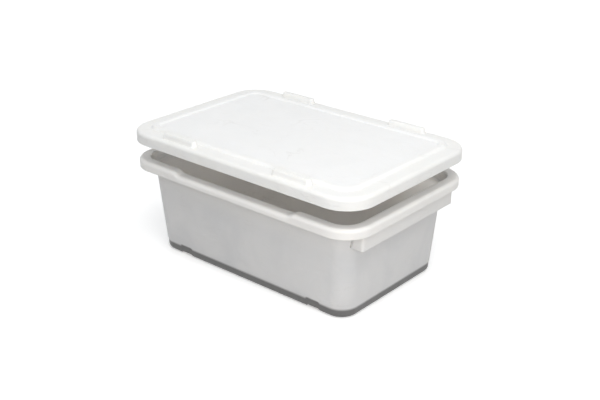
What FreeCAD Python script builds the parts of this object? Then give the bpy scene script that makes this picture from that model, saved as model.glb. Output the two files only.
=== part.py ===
"""Produce lug box with a lift-off lid, in millimetres.

The tub is a drafted, thin-walled moulding.  Its rim is a wide flange with a down-turned
skirt, raised at the two ends and dipped along the two long sides, and its base stands on a
notched runner.  The lid is a shallow upturned tray with a bead around its flat panel and
four low lugs.  It is held level above the rim, as when it is lifted off.

Frame: +X along the long side, +Y across, +Z up, origin at the middle of the base.
"""
import FreeCAD, Part

import math
import os

import Sketcher
from FreeCAD import Vector

SIZES = {
    # tub: overall
    "RimLength": 650.0,
    "RimWidth": 424.0,
    "RimCorner": 66.0,
    "TubHeight": 229.0,
    "BaseEndInset": 49.0,
    "BaseSideInset": 46.0,
    "BaseCorner": 40.0,
    "BaseRound": 11.0,
    "Wall": 3.0,
    # tub: rim flange
    "RimLand": 26.0,
    "RimRound": 8.0,
    "MouthRound": 2.5,
    "SkirtDepth": 22.0,
    "SkirtWall": 3.5,
    "DipDepth": 7.0,
    "DipLength": 310.0,
    "DipRamp": 24.0,
    # tub: stacking ledge inside the rim, and the shoulder that it makes outside
    "LedgeDrop": 13.0,
    "LedgeWidth": 9.5,
    "LedgeFall": 5.0,
    "WallCorner": 42.0,
    # tub: plinth, floor and runner
    "PlinthHeight": 25.0,
    "PlinthFlare": 1.0,
    "PlinthStep": 1.5,
    "RunnerHeight": 8.0,
    "RunnerWidth": 18.0,
    "NotchWidth": 26.0,
    "NotchFlare": 9.0,
    "NotchMargin": 85.0,
    # tub: grip bars under the ends of the flange, and gussets under its long sides
    "GripInset": 11.0,
    "GripDropRight": 36.0,
    "GripDropLeft": 14.0,
    "GripMarginRight": 52.0,
    "GripMarginLeft": 114.0,
    "RibWall": 3.0,
    "GussetDrop": 7.0,
    "GussetOffset": 38.0,
    # lid
    "LidClearance": 0.6,
    "LidWall": 2.5,
    "LidDepth": 27.0,
    "LidRound": 8.0,
    "LidLift": 41.0,
    "BeadInset": 36.0,
    "BeadWidth": 16.0,
    "BeadRise": 6.0,
    "BeadRound": 3.0,
    "PanelRise": 2.5,
    "LugLength": 100.0,
    "LugWidth": 19.0,
    "LugCorner": 8.0,
    "LugRise": 13.0,
    "LugMargin": 164.0,
    "LugInset": 18.5,
}

# Sizes worked out from the ones above, as formulas of the same sheet.
DERIVED = {
    "BaseLength": "RimLength - 2 * BaseEndInset",
    "BaseWidth": "RimWidth - 2 * BaseSideInset",
    "SkirtFoot": "TubHeight - SkirtDepth",
    "DipUnder": "TubHeight - DipDepth - SkirtWall",
    "LedgeTop": "TubHeight - LedgeDrop",
    "LedgeFoot": "TubHeight - LedgeDrop - LedgeFall",
    "SeatFoot": "TubHeight - LedgeDrop - Wall",
    "ShoulderFoot": "TubHeight - LedgeDrop - LedgeFall - Wall",
    "SeatInset": "RimLand - Wall",
    "WallInset": "RimLand + LedgeWidth - Wall",
    "HollowInset": "RimLand + LedgeWidth",
    "FloorTop": "RunnerHeight + Wall",
    "DipFloor": "TubHeight - DipDepth",
    "DipReach": "DipLength / 2 + DipRamp",
    "SideFace": "RimWidth / 2",
    "SideMouth": "RimWidth / 2 - RimLand",
    "SideSkirt": "RimWidth / 2 - SkirtWall",
    "SideRoot": "RimWidth / 2 - HollowInset",
    "EndRoot": "RimLength / 2 - HollowInset - WallCorner / 2",
    "GripFace": "RimLength / 2 - GripInset",
    "GripFootRight": "TubHeight - SkirtDepth - GripDropRight",
    "GripFootLeft": "TubHeight - SkirtDepth - GripDropLeft",
    "GussetFoot": "TubHeight - SkirtDepth - GussetDrop",
    "GripHalfRight": "RimWidth / 2 - GripMarginRight",
    "GripHalfLeft": "RimWidth / 2 - GripMarginLeft",
    "NotchFar": "BaseLength / 2 - NotchMargin + NotchWidth / 2",
    "NotchNear": "NotchFar - NotchWidth",
    "LidHeight": "TubHeight + LidLift",
    "LidOverhang": "LidClearance + LidWall",
    "LidUnder": "LidDepth - LidWall",
    "CoreLength": "LugLength - 2 * LidWall",
    "CoreWidth": "LugWidth - 2 * LidWall",
    "CoreCorner": "LugCorner - LidWall",
    "LidInnerRound": "LidRound - LidWall",
    "BeadTop": "LidDepth + BeadRise",
    "LugOffset": "RimLength / 2 - LugMargin",
    "LugLine": "RimWidth / 2 + LidOverhang - LugInset",
}

# Rounded rectangles: name, the outline it is offset from, and how far inwards.
OUTLINES = {
    "Rim": ("Rim", "0"),
    "SkirtInside": ("Rim", "SkirtWall"),
    "Seat": ("Rim", "SeatInset"),
    "Mouth": ("Rim", "RimLand"),
    "WallTop": ("Rim", "WallInset"),
    "HollowTop": ("Rim", "HollowInset"),
    "Base": ("Base", "0"),
    "PlinthTop": ("Base", "-PlinthFlare"),
    "WallFoot": ("Base", "-PlinthFlare - PlinthStep"),
    "Floor": ("Base", "Wall"),
    "Recess": ("Base", "RunnerWidth"),
    "LidOut": ("Rim", "-LidOverhang"),
    "LidIn": ("Rim", "-LidClearance"),
    "BeadOut": ("Rim", "BeadInset - LidOverhang"),
    "BeadIn": ("Rim", "BeadInset + BeadWidth - LidOverhang"),
    "GrooveOut": ("Rim", "BeadInset + LidWall - LidOverhang"),
    "GrooveIn": ("Rim", "BeadInset + BeadWidth - LidWall - LidOverhang"),
    "PanelUnder": ("Rim", "BeadInset + BeadWidth + LidWall - LidOverhang"),
}

# Outlines whose corners aren't parallel to the one they are offset from.
CORNERS = {"WallTop": "WallCorner", "HollowTop": "WallCorner - Wall"}


# How near, in millimetres, an edge lies to the outline that it belongs to.
CLOSE = 0.01

# The height of the surface that the box stands on: a sum of no cells.
GROUND = ""


def make_sheet(doc):
    """Put the driving sizes, the derived sizes and the outlines into one spreadsheet."""
    sheet = doc.addObject("Spreadsheet::Sheet", "Sizes")
    cells = {name: str(value) for name, value in SIZES.items()}
    cells.update({name: "=" + formula for name, formula in DERIVED.items()})
    for name, (parent, inset) in OUTLINES.items():
        if name != parent:
            cells[name + "Length"] = "=%sLength - 2 * (%s)" % (parent, inset)
            cells[name + "Width"] = "=%sWidth - 2 * (%s)" % (parent, inset)
            corner = CORNERS.get(name, "%sCorner - (%s)" % (parent, inset))
            cells[name + "Corner"] = "=" + corner
    for row, (name, content) in enumerate(cells.items(), start=1):
        sheet.set("A%d" % row, name)
        sheet.setAlias("B%d" % row, name)
        sheet.set("B%d" % row, content)
    doc.recompute()
    return sheet


class Piece:
    """One PartDesign body whose sketches and features are bound to the sheet."""

    def __init__(self, doc, sheet, label):
        """Add the body under the name that its file takes."""
        self.doc = doc
        self.sheet = sheet
        self.body = doc.addObject("PartDesign::Body", label.capitalize())
        self.body.Label = label

    def size(self, name):
        """Return the present value of one cell."""
        return float(self.sheet.get(name))

    def value(self, formula):
        """Return the value of cell names joined by plus and minus signs."""
        total, sign = 0.0, 1
        for word in formula.split():
            if word in "+-":
                sign = 1 if word == "+" else -1
            else:
                total += sign * self.size(word)
        return total

    def spelled(self, formula):
        """Return the formula as the document writes it, each name led by the sheet's."""
        return " ".join(w if w in "+-" else "Sizes." + w for w in formula.split())

    def sketch(self, label, height="", role="XY_Plane"):
        """Add an empty sketch, a height from the sheet above an origin plane."""
        made = self.body.newObject("Sketcher::SketchObject", label)
        planes = [p for p in self.body.Origin.OriginFeatures if p.Role == role]
        made.AttachmentSupport = [(planes[0], "")]
        made.MapMode = "FlatFace"
        if height:
            made.setExpression("AttachmentOffset.Base.z", self.spelled(height))
        return made

    def bind(self, made, kind, points, value, formula):
        """Add one size constraint to a sketch and tie it to the sheet."""
        index = made.addConstraint(Sketcher.Constraint(kind, *points, value))
        made.setExpression("Constraints[%d]" % index, formula)

    def rounded(self, made, outline, side_x=0, side_y=0, centre=None):
        """Draw a rounded rectangle about the origin, or about a named place beside it."""
        length, width, corner = (self.size(outline + w) for w in ("Length", "Width", "Corner"))
        off_x, off_y = (self.size(name) for name in centre) if centre else (0.0, 0.0)
        reach_x, reach_y = length / 2 - corner, width / 2 - corner
        first = made.GeometryCount
        hubs = []
        for turn, (sign_x, sign_y) in enumerate(((1, 1), (-1, 1), (-1, -1), (1, -1))):
            hub = Vector(side_x * off_x + sign_x * reach_x, side_y * off_y + sign_y * reach_y)
            hubs.append(hub)
            circle = Part.Circle(hub, Vector(0, 0, 1), corner)
            begin, end = (math.radians(90 * step) for step in (turn, turn + 1))
            made.addGeometry(Part.ArcOfCircle(circle, begin, end), False)
        for turn, normal in enumerate(((0, 1), (-1, 0), (0, -1), (1, 0))):
            out = Vector(*normal) * corner
            made.addGeometry(Part.LineSegment(hubs[turn] + out, hubs[(turn + 1) % 4] + out), False)
        for turn in range(4):
            arc, line, following = first + turn, first + 4 + turn, first + (turn + 1) % 4
            made.addConstraint(Sketcher.Constraint("Tangent", arc, 2, line, 1))
            made.addConstraint(Sketcher.Constraint("Tangent", line, 2, following, 1))
            straight = "Horizontal" if turn % 2 == 0 else "Vertical"
            made.addConstraint(Sketcher.Constraint(straight, line))
            if turn:
                made.addConstraint(Sketcher.Constraint("Equal", first, arc))
        cell = "Sizes." + outline
        self.bind(made, "Radius", (first,), corner, cell + "Corner")
        across = "%sLength - 2 * %sCorner" % (cell, cell)
        self.bind(made, "DistanceX", (first + 1, 3, first, 3), 2 * reach_x, across)
        along = "%sWidth - 2 * %sCorner" % (cell, cell)
        self.bind(made, "DistanceY", (first + 3, 3, first, 3), 2 * reach_y, along)
        if centre is None:
            middle = Sketcher.Constraint("Symmetric", first, 3, first + 2, 3, -1, 1)
            made.addConstraint(middle)
            return
        far = first + ((1, 1), (-1, 1), (-1, -1), (1, -1)).index((side_x, side_y))
        places = (
            ("DistanceX", side_x, off_x + reach_x, centre[0], "Length"),
            ("DistanceY", side_y, off_y + reach_y, centre[1], "Width"),
        )
        for kind, side, value, name, extent in places:
            ends = (-1, 1, far, 3) if side > 0 else (far, 3, -1, 1)
            formula = "Sizes.%s + %s%s / 2 - %sCorner" % (name, cell, extent, cell)
            self.bind(made, kind, ends, value, formula)

    def polygon(self, made, corners):
        """Draw a closed polygon; each coordinate is a (sign, formula) pair."""
        first = made.GeometryCount
        spots = [
            Vector(sign_x * self.value(name_x), sign_y * self.value(name_y))
            for (sign_x, name_x), (sign_y, name_y) in corners
        ]
        count = len(spots)
        for turn in range(count):
            made.addGeometry(Part.LineSegment(spots[turn], spots[(turn + 1) % count]), False)
        for turn in range(count):
            line, following = first + turn, first + (turn + 1) % count
            made.addConstraint(Sketcher.Constraint("Coincident", line, 2, following, 1))
            for kind, (sign, formula) in zip(("DistanceX", "DistanceY"), corners[turn]):
                ends = (-1, 1, line, 1) if sign > 0 else (line, 1, -1, 1)
                self.bind(made, kind, ends, self.value(formula), self.spelled(formula))

    def rectangle(self, made, low_x, high_x, low_y, high_y):
        """Draw a plain rectangle; each edge is a (sign, formula) pair."""
        self.polygon(
            made, [(low_x, low_y), (high_x, low_y), (high_x, high_y), (low_x, high_y)]
        )

    def outline(self, name, height="", label=""):
        """Add a sketch that holds one rounded rectangle."""
        made = self.sketch(label or name + "Outline", height)
        self.rounded(made, name)
        return made

    def ring(self, label, outer, inner, height):
        """Add a sketch that holds two rounded rectangles, one inside the other."""
        made = self.sketch(label, height)
        self.rounded(made, outer)
        self.rounded(made, inner)
        return made

    def loft(self, kind, label, lower, upper):
        """Add or subtract the ruled loft between two sketches."""
        made = self.body.newObject("PartDesign::%sLoft" % kind, label)
        made.Profile = lower
        made.Sections = [upper]
        made.Ruled = True
        return self.settle(made)

    def pad(self, label, profile, formula, symmetric=False):
        """Pad a sketch upwards, or both ways, by a length from the sheet."""
        made = self.body.newObject("PartDesign::Pad", label)
        made.Profile = profile
        made.Midplane = symmetric
        made.setExpression("Length", self.spelled(formula))
        return self.settle(made)

    def pocket(self, label, profile, formula, upwards=False, symmetric=False):
        """Cut a sketch downwards, upwards or both ways, and make sure that it cuts."""
        before = self.body.Tip.Shape.Volume
        made = self.body.newObject("PartDesign::Pocket", label)
        made.Profile = profile
        made.Reversed = upwards
        made.Midplane = symmetric
        made.setExpression("Length", self.spelled(formula))
        self.settle(made)
        if made.Shape.Volume >= before:
            raise ValueError(label + " cuts nothing")
        return made

    def round_edges(self, label, outline, low, high, radius):
        """Fillet every edge that runs along an outline between two heights."""
        tip = self.body.Tip
        low_z, high_z = self.value(low), self.value(high)
        names = []
        for number, edge in enumerate(tip.Shape.Edges, start=1):
            points = edge.discretize(5)
            along = all(abs(self.depth(outline, p)) < CLOSE for p in points)
            if along and all(low_z - CLOSE < p.z < high_z + CLOSE for p in points):
                names.append("Edge%d" % number)
        if not names:
            raise ValueError(label + " finds no edge")
        made = self.body.newObject("PartDesign::Fillet", label)
        made.Base = (tip, names)
        made.setExpression("Radius", "Sizes." + radius)
        return self.settle(made)

    def depth(self, outline, point):
        """Return how far inside a rounded rectangle a point lies, in plan."""
        corner = self.size(outline + "Corner")
        over_x = abs(point.x) - self.size(outline + "Length") / 2 + corner
        over_y = abs(point.y) - self.size(outline + "Width") / 2 + corner
        outside = math.hypot(max(over_x, 0.0), max(over_y, 0.0))
        return corner - outside - min(max(over_x, over_y), 0.0)

    def settle(self, made):
        """Make a feature the body's tip and work it out."""
        self.body.Tip = made
        self.doc.recompute()
        if made.Shape.isNull():
            raise ValueError(made.Name + " made no shape")
        return made


def tub_outside(tub):
    """Loft the plinth and the drafted wall, round the foot, and cap them with the flange."""
    plinth_top = tub.outline("PlinthTop", "PlinthHeight")
    tub.loft("Additive", "Plinth", tub.outline("Base"), plinth_top)
    tub.round_edges("Foot", "Base", GROUND, GROUND, "BaseRound")
    wall_top = tub.outline("WallTop", "ShoulderFoot")
    tub.loft("Additive", "DraftedWall", tub.outline("WallFoot", "PlinthHeight"), wall_top)
    tub.pad("Flange", tub.outline("Rim", "SkirtFoot"), "SkirtDepth")
    return wall_top


def tub_flange(tub, wall_top):
    """Hollow the flange from below, step the wall out to it, and thicken it over the dips."""
    hollow = tub.ring("FlangeHollowRing", "SkirtInside", "WallTop", "SkirtFoot")
    tub.pocket("FlangeHollow", hollow, "SkirtDepth - SkirtWall", upwards=True)
    seat = tub.outline("Seat", "SeatFoot")
    tub.loft("Additive", "Shoulder", wall_top, seat)
    tub.pad("SeatWall", seat, "LedgeDrop + Wall")
    rows = tub.sketch("DipBridgeRows", "DipUnder")
    reach = ((-1, "DipReach"), (1, "DipReach"))
    tub.rectangle(rows, *reach, (1, "SideMouth"), (1, "SideFace"))
    tub.rectangle(rows, *reach, (-1, "SideFace"), (-1, "SideMouth"))
    tub.pad("DipBridge", rows, "DipDepth + SkirtWall")


def tub_ribs(tub):
    """Hang a grip bar under each end of the flange, and gussets under its long sides.

    The bars' cheeks and the gussets start inside the wall, because its corners are round
    and it is drafted.  The mouth and the hollow are cut later, and take what reaches in.
    """
    for side, half in ((1, "GripHalfRight"), (-1, "GripHalfLeft")):
        end = "Right" if side > 0 else "Left"
        face, back = (side, "GripFace"), (side, "GripFace - RibWall")
        across = (back, face) if side > 0 else (face, back)
        foot, reach = "GripFoot" + end, "SkirtDepth + GripDrop%s - SkirtWall" % end
        bar = tub.sketch("GripBarPlan" + end, foot)
        tub.rectangle(bar, *across, (-1, half), (1, half))
        tub.pad("GripBar" + end, bar, reach)
        root = (side, "EndRoot")
        across = (root, face) if side > 0 else (face, root)
        cheeks = tub.sketch("GripCheekPlan" + end, foot)
        tub.rectangle(cheeks, *across, (1, half + " - RibWall"), (1, half))
        tub.rectangle(cheeks, *across, (-1, half), (-1, half + " - RibWall"))
        tub.pad("GripCheek" + end, cheeks, reach)
    for number, offset in enumerate(("GussetOffset", "- GussetOffset"), start=1):
        gussets = tub.sketch("GussetSide%d" % number, offset, "YZ_Plane")
        for side in (1, -1):
            skirt, root = (side, "SideSkirt"), (side, "SideRoot")
            heights = ((1, "DipUnder"), (1, "SkirtFoot"), (1, "GussetFoot"))
            top, foot, low = heights
            tub.polygon(gussets, [(root, top), (skirt, top), (skirt, foot), (root, low)])
        tub.pad("Gussets%d" % number, gussets, "RibWall", symmetric=True)


def tub_dips(tub):
    """Sink the long sides of the rim between two S-shaped ramps, and round the rim."""
    made = tub.sketch("DipOutline", role="XZ_Plane")
    depth, half, ramp = tub.size("DipDepth"), tub.size("DipLength") / 2, tub.size("DipRamp")
    top = tub.size("TubHeight")
    floor = top - depth
    bend = (depth**2 + ramp**2) / (4 * depth)
    turn = math.asin(ramp / (2 * bend))
    quarter = math.pi / 2
    axis = Vector(0, 0, 1)
    made.addGeometry(Part.LineSegment(Vector(-half, floor), Vector(half, floor)), False)
    low = Part.Circle(Vector(half, floor + bend), axis, bend)
    made.addGeometry(Part.ArcOfCircle(low, -quarter, turn - quarter), False)
    high = Part.Circle(Vector(half + ramp, top - bend), axis, bend)
    made.addGeometry(Part.ArcOfCircle(high, quarter, quarter + turn), False)
    right = [Vector(half + ramp, top), Vector(half + ramp, top + depth)]
    left = [Vector(-half - ramp, top + depth), Vector(-half - ramp, top)]
    made.addGeometry(Part.LineSegment(right[0], right[1]), False)
    made.addGeometry(Part.LineSegment(right[1], left[0]), False)
    made.addGeometry(Part.LineSegment(left[0], left[1]), False)
    high = Part.Circle(Vector(-half - ramp, top - bend), axis, bend)
    made.addGeometry(Part.ArcOfCircle(high, quarter - turn, quarter), False)
    low = Part.Circle(Vector(-half, floor + bend), axis, bend)
    made.addGeometry(Part.ArcOfCircle(low, -quarter - turn, -quarter), False)
    rules = [
        ("Tangent", 0, 2, 1, 1),
        ("Tangent", 1, 2, 2, 2),
        ("Coincident", 2, 1, 3, 1),
        ("Coincident", 3, 2, 4, 1),
        ("Coincident", 4, 2, 5, 1),
        ("Coincident", 5, 2, 6, 2),
        ("Tangent", 6, 1, 7, 1),
        ("Tangent", 7, 2, 0, 1),
        ("Vertical", 3),
        ("Horizontal", 4),
        ("Vertical", 5),
        ("Equal", 1, 2),
        ("Equal", 1, 6),
        ("Equal", 1, 7),
        ("Equal", 3, 5),
        ("Vertical", 2, 3, 2, 1),
        ("Vertical", 6, 3, 6, 2),
        ("Symmetric", 0, 1, 0, 2, -2),
    ]
    for rule in rules:
        made.addConstraint(Sketcher.Constraint(*rule))
    tub.bind(made, "DistanceX", (0, 1, 0, 2), 2 * half, "Sizes.DipLength")
    tub.bind(made, "DistanceX", (0, 2, 3, 1), ramp, "Sizes.DipRamp")
    tub.bind(made, "DistanceY", (0, 2, 3, 1), depth, "Sizes.DipDepth")
    tub.bind(made, "DistanceY", (3, 1, 3, 2), depth, "Sizes.DipDepth")
    tub.bind(made, "DistanceY", (-1, 1, 0, 1), floor, "Sizes.DipFloor")
    tub.pocket("Dips", made, "RimWidth + RimWidth", symmetric=True)
    tub.round_edges("RimShoulder", "Rim", "DipFloor", "TubHeight", "RimRound")


def tub_inside(tub):
    """Cut the mouth, the sloping ledge and the drafted hollow down to the floor."""
    tub.pocket("MouthCut", tub.outline("Mouth", "TubHeight"), "LedgeDrop")
    tub.round_edges("MouthEdge", "Mouth", "DipFloor", "TubHeight", "MouthRound")
    hollow_top = tub.outline("HollowTop", "LedgeFoot")
    ledge = tub.outline("Mouth", "LedgeTop", label="LedgeOutline")
    tub.loft("Subtractive", "Ledge", ledge, hollow_top)
    tub.loft("Subtractive", "Hollow", hollow_top, tub.outline("Floor", "FloorTop"))


def tub_underside(tub):
    """Raise the floor inside a runner, and cut flared notches through the runner."""
    tub.pocket("Recess", tub.outline("Recess"), "RunnerHeight", upwards=True)
    notches = tub.sketch("NotchOutline", role="XZ_Plane")
    low, top = (-1, "Wall"), (1, "RunnerHeight")
    for side in (1, -1):
        near, far = (side, "NotchNear"), (side, "NotchFar")
        near_foot, far_foot = (side, "NotchNear - NotchFlare"), (side, "NotchFar + NotchFlare")
        tub.polygon(notches, [(near_foot, low), (far_foot, low), (far, top), (near, top)])
    tub.pocket("Notches", notches, "RimWidth + RimWidth", symmetric=True)


def make_tub(doc, sheet):
    """Build the tub."""
    tub = Piece(doc, sheet, "tub")
    tub_flange(tub, tub_outside(tub))
    tub_ribs(tub)
    tub_dips(tub)
    tub_inside(tub)
    tub_underside(tub)
    return tub.body


def lid_outside(lid):
    """Pad the lid's skirt and top, its bead, its panel and its lugs."""
    lid.pad("Cover", lid.outline("LidOut"), "LidDepth")
    lid.round_edges("CoverShoulder", "LidOut", "LidDepth", "LidDepth", "LidRound")
    bead = lid.ring("BeadRing", "BeadOut", "BeadIn", "LidDepth")
    lid.pad("Bead", bead, "BeadRise")
    for edge, outline in (("BeadOuterEdge", "BeadOut"), ("BeadInnerEdge", "BeadIn")):
        lid.round_edges(edge, outline, "BeadTop", "BeadTop", "BeadRound")
    lid.pad("Panel", lid.outline("BeadIn", "LidDepth", label="PanelOutline"), "PanelRise")
    lugs = lid.sketch("LugPlan", "LidDepth")
    for side_x, side_y in ((1, 1), (-1, 1), (-1, -1), (1, -1)):
        lid.rounded(lugs, "Lug", side_x, side_y, ("LugOffset", "LugLine"))
    lid.pad("Lugs", lugs, "LugRise")


def lid_inside(lid):
    """Hollow the lid from below, also under its panel, its bead and its lugs."""
    lid.pocket("Inside", lid.outline("LidIn"), "LidUnder", upwards=True)
    lid.round_edges("InsideShoulder", "LidIn", "LidUnder", "LidUnder", "LidInnerRound")
    under = lid.outline("PanelUnder", "LidUnder")
    lid.pocket("UnderPanel", under, "PanelRise", upwards=True)
    groove = lid.ring("GrooveRing", "GrooveOut", "GrooveIn", "LidUnder")
    lid.pocket("UnderBead", groove, "BeadRise", upwards=True)
    cores = lid.sketch("LugCorePlan", "LidUnder")
    for side_x, side_y in ((1, 1), (-1, 1), (-1, -1), (1, -1)):
        lid.rounded(cores, "Core", side_x, side_y, ("LugOffset", "LugLine"))
    lid.pocket("UnderLugs", cores, "LugRise", upwards=True)


def make_lid(doc, sheet):
    """Build the lid on its own skirt's foot, and hold it above the rim."""
    lid = Piece(doc, sheet, "lid")
    lid_outside(lid)
    lid_inside(lid)
    lid.body.setExpression("Placement.Base.z", "Sizes.LidHeight")
    doc.recompute()
    return lid.body


def check(doc, bodies):
    """Stop where a feature failed, or where a piece isn't one valid solid."""
    for made in doc.Objects:
        if "Invalid" in made.State or "Error" in made.State:
            raise ValueError(made.Name + " failed")
    for body in bodies:
        shape = body.Shape
        if shape.isNull() or not shape.isValid() or len(shape.Solids) != 1:
            raise ValueError(body.Label + " isn't one valid solid")


def main():
    """Build the box and write one file for each piece."""
    doc = FreeCAD.newDocument("LugBox")
    sheet = make_sheet(doc)
    bodies = [make_tub(doc, sheet), make_lid(doc, sheet)]
    check(doc, bodies)
    os.makedirs("parts", exist_ok=True)
    for body in bodies:
        body.Shape.exportStep("parts/%s.step" % body.Label)
        box = body.Shape.BoundBox
        print("%s: %.1f cm3, z %.1f to %.1f" % (
            body.Label, body.Shape.Volume / 1000, box.ZMin, box.ZMax))


main()
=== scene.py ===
"""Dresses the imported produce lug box: a white moulded tub with its lid held above it.

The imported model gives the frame.  Its two solids are replaced by finer shells of the same
sizes.  Each shell is a closed profile carried around a rounded rectangle, with every edge
eased as moulded edges are.  The grip bars and webs under the tub's flange are pieces of
their own.  All sizes are in metres.
"""

import logging
import math
from dataclasses import dataclass
from enum import Enum

import bpy
import numpy as np
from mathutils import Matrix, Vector

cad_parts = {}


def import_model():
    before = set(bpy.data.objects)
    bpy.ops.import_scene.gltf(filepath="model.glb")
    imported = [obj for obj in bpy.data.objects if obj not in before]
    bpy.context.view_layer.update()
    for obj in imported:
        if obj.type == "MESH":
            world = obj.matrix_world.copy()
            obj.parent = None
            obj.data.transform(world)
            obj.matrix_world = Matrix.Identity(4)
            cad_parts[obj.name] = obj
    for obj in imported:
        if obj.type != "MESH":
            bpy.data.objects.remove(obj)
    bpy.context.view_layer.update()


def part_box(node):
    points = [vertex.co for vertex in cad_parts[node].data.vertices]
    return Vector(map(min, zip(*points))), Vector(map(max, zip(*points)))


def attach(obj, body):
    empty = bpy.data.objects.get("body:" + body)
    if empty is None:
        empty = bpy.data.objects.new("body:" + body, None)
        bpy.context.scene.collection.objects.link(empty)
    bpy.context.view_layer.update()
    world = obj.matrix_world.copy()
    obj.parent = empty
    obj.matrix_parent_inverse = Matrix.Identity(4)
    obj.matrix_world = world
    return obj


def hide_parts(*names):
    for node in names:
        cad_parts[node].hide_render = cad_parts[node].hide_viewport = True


LOG = logging.getLogger("lug_box")
MM = 0.001

EASE_STEPS = 6
SUPPORT = 0.4 * MM
CLOSE_COLUMNS = 13
ROUND_STOPS = 9
BAR_STOPS = 25
CHEEK_STOPS = 6
NOTHING = 1e-9
RIM_CORNER = 66 * MM

Tree, Socket = bpy.types.NodeTree, bpy.types.NodeSocket
Piece, Finish = bpy.types.Object, bpy.types.Material
Colour = tuple[float, float, float]


class Side(Enum):
    """The end of the box that a piece belongs to."""

    RIGHT = 1
    LEFT = -1


# ---- profiles and grids


@dataclass(frozen=True)
class Outline:
    """A rounded rectangle in plan, centred on the origin."""

    half_length: float
    half_width: float
    corner: float

    def inset(self, by: float, corner: float | None = None) -> "Outline":
        """Offsets the outline inwards.

        Args:
            by: how far inwards.
            corner: the new corner radius, or None for a parallel corner.

        Returns:
            The offset outline.
        """
        left = self.corner - by if corner is None else corner
        return Outline(self.half_length - by, self.half_width - by, left)

    def reach(self, y: float) -> float:
        """Gives the outline's x where it crosses a line across the box.

        The straight end gives half the length; beyond it the corner's circle gives its
        centre plus the root of the radius squared less the overshoot squared.

        Args:
            y: place of the line.

        Returns:
            The largest x on that line.
        """
        over = max(abs(y) - (self.half_width - self.corner), 0.0)
        return self.half_length - self.corner + math.sqrt(max(self.corner**2 - over**2, 0.0))


@dataclass(frozen=True)
class Level:
    """One corner of a shell's profile.

    outline is the line it follows around the box, ease the radius of its rounded edge,
    sinks the share of the rim's dip that it takes, and spacing the longest gap between
    the grid's rows on the stretch that follows it.
    """

    outline: Outline
    height: float
    ease: float = 0.0
    sinks: float = 0.0
    spacing: float = 60 * MM

    def numbers(self) -> tuple[float, float, float, float]:
        """Gives half length, height, half width and corner as one row."""
        plan = self.outline
        return plan.half_length, self.height, plan.half_width, plan.corner


def ease_corners(points: np.ndarray, eases: np.ndarray) -> np.ndarray:
    """Replaces each corner of a closed loop by an arc between two support points.

    The arc is the rational curve (A(1-t)^2 + 2wBt(1-t) + Ct^2) / ((1-t)^2 + 2wt(1-t) + t^2).
    B is the corner.  A and C lie on its two sides at ease * tan(turn / 2) from it, and w is
    the cosine of half the turn, which makes the curve a true circle in the first two
    columns.  The other columns follow the same weights.

    Args:
        points: corners, one a row; the first two columns are the plane of the arcs.
        eases: radius at each corner.

    Returns:
        An array of corner, point on its arc, column.
    """
    to_last = np.roll(points, 1, axis=0) - points
    to_next = np.roll(points, -1, axis=0) - points
    last_gap = np.linalg.norm(to_last[:, :2], axis=1)
    next_gap = np.linalg.norm(to_next[:, :2], axis=1)
    facing = -np.sum(to_last[:, :2] * to_next[:, :2], axis=1) / (last_gap * next_gap)
    half_turn = np.arccos(np.clip(facing, -1.0, 1.0)) / 2
    back = (eases * np.tan(half_turn))[:, None]
    last_way = to_last / last_gap[:, None]
    next_way = to_next / next_gap[:, None]
    before, after = points + last_way * back, points + next_way * back
    t = np.linspace(0.0, 1.0, EASE_STEPS + 1)[None, :, None]
    weight = np.cos(half_turn)[:, None, None]
    start, middle, end = (1 - t) ** 2, 2 * weight * t * (1 - t), t**2
    arc = start * before[:, None] + middle * points[:, None] + end * after[:, None]
    arc /= start + middle + end
    lead = (before + last_way * SUPPORT)[:, None]
    trail = (after + next_way * SUPPORT)[:, None]
    return np.concatenate([lead, arc, trail], axis=1)


def profile_rows(levels: list[Level]) -> np.ndarray:
    """Turns a profile's levels into the rows of a shell's grid.

    The corners between the first and the last level are eased.  Then each gap is split
    into equal parts no longer than its spacing.

    Args:
        levels: the profile's corners, from the middle of one face to that of the other.

    Returns:
        Rows of half length, height, half width, corner and sinks.
    """
    points = np.array([level.numbers() for level in levels])
    eases = np.array([level.ease for level in levels])
    arcs = ease_corners(points, eases)[1:-1]
    inner = np.repeat(np.arange(1, len(levels) - 1), arcs.shape[1])
    rows = np.concatenate([points[:1], arcs.reshape(-1, points.shape[1]), points[-1:]])
    owner = np.concatenate([[0], inner, [len(levels) - 1]])
    sinks = np.array([level.sinks for level in levels])[owner]
    spacing = np.array([level.spacing for level in levels])[owner]
    rows = np.column_stack([rows, sinks])
    gaps = np.linalg.norm(np.diff(rows[:, :2], axis=0), axis=1)
    parts = np.maximum(np.ceil(gaps / spacing[:-1] - NOTHING), 1).astype(int)
    index = np.repeat(np.arange(len(gaps)), parts)
    within = np.arange(len(index)) - np.repeat(np.cumsum(parts) - parts, parts)
    share = (within / parts[index])[:, None]
    split = rows[index] + share * (rows[index + 1] - rows[index])
    return np.concatenate([split, rows[-1:]])


def joined(*stretches: tuple) -> np.ndarray:
    """Joins a path's stretches, each of which gives a number or an array for every row."""
    return np.concatenate([np.broadcast_arrays(*stretch) for stretch in stretches], axis=1)


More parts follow.
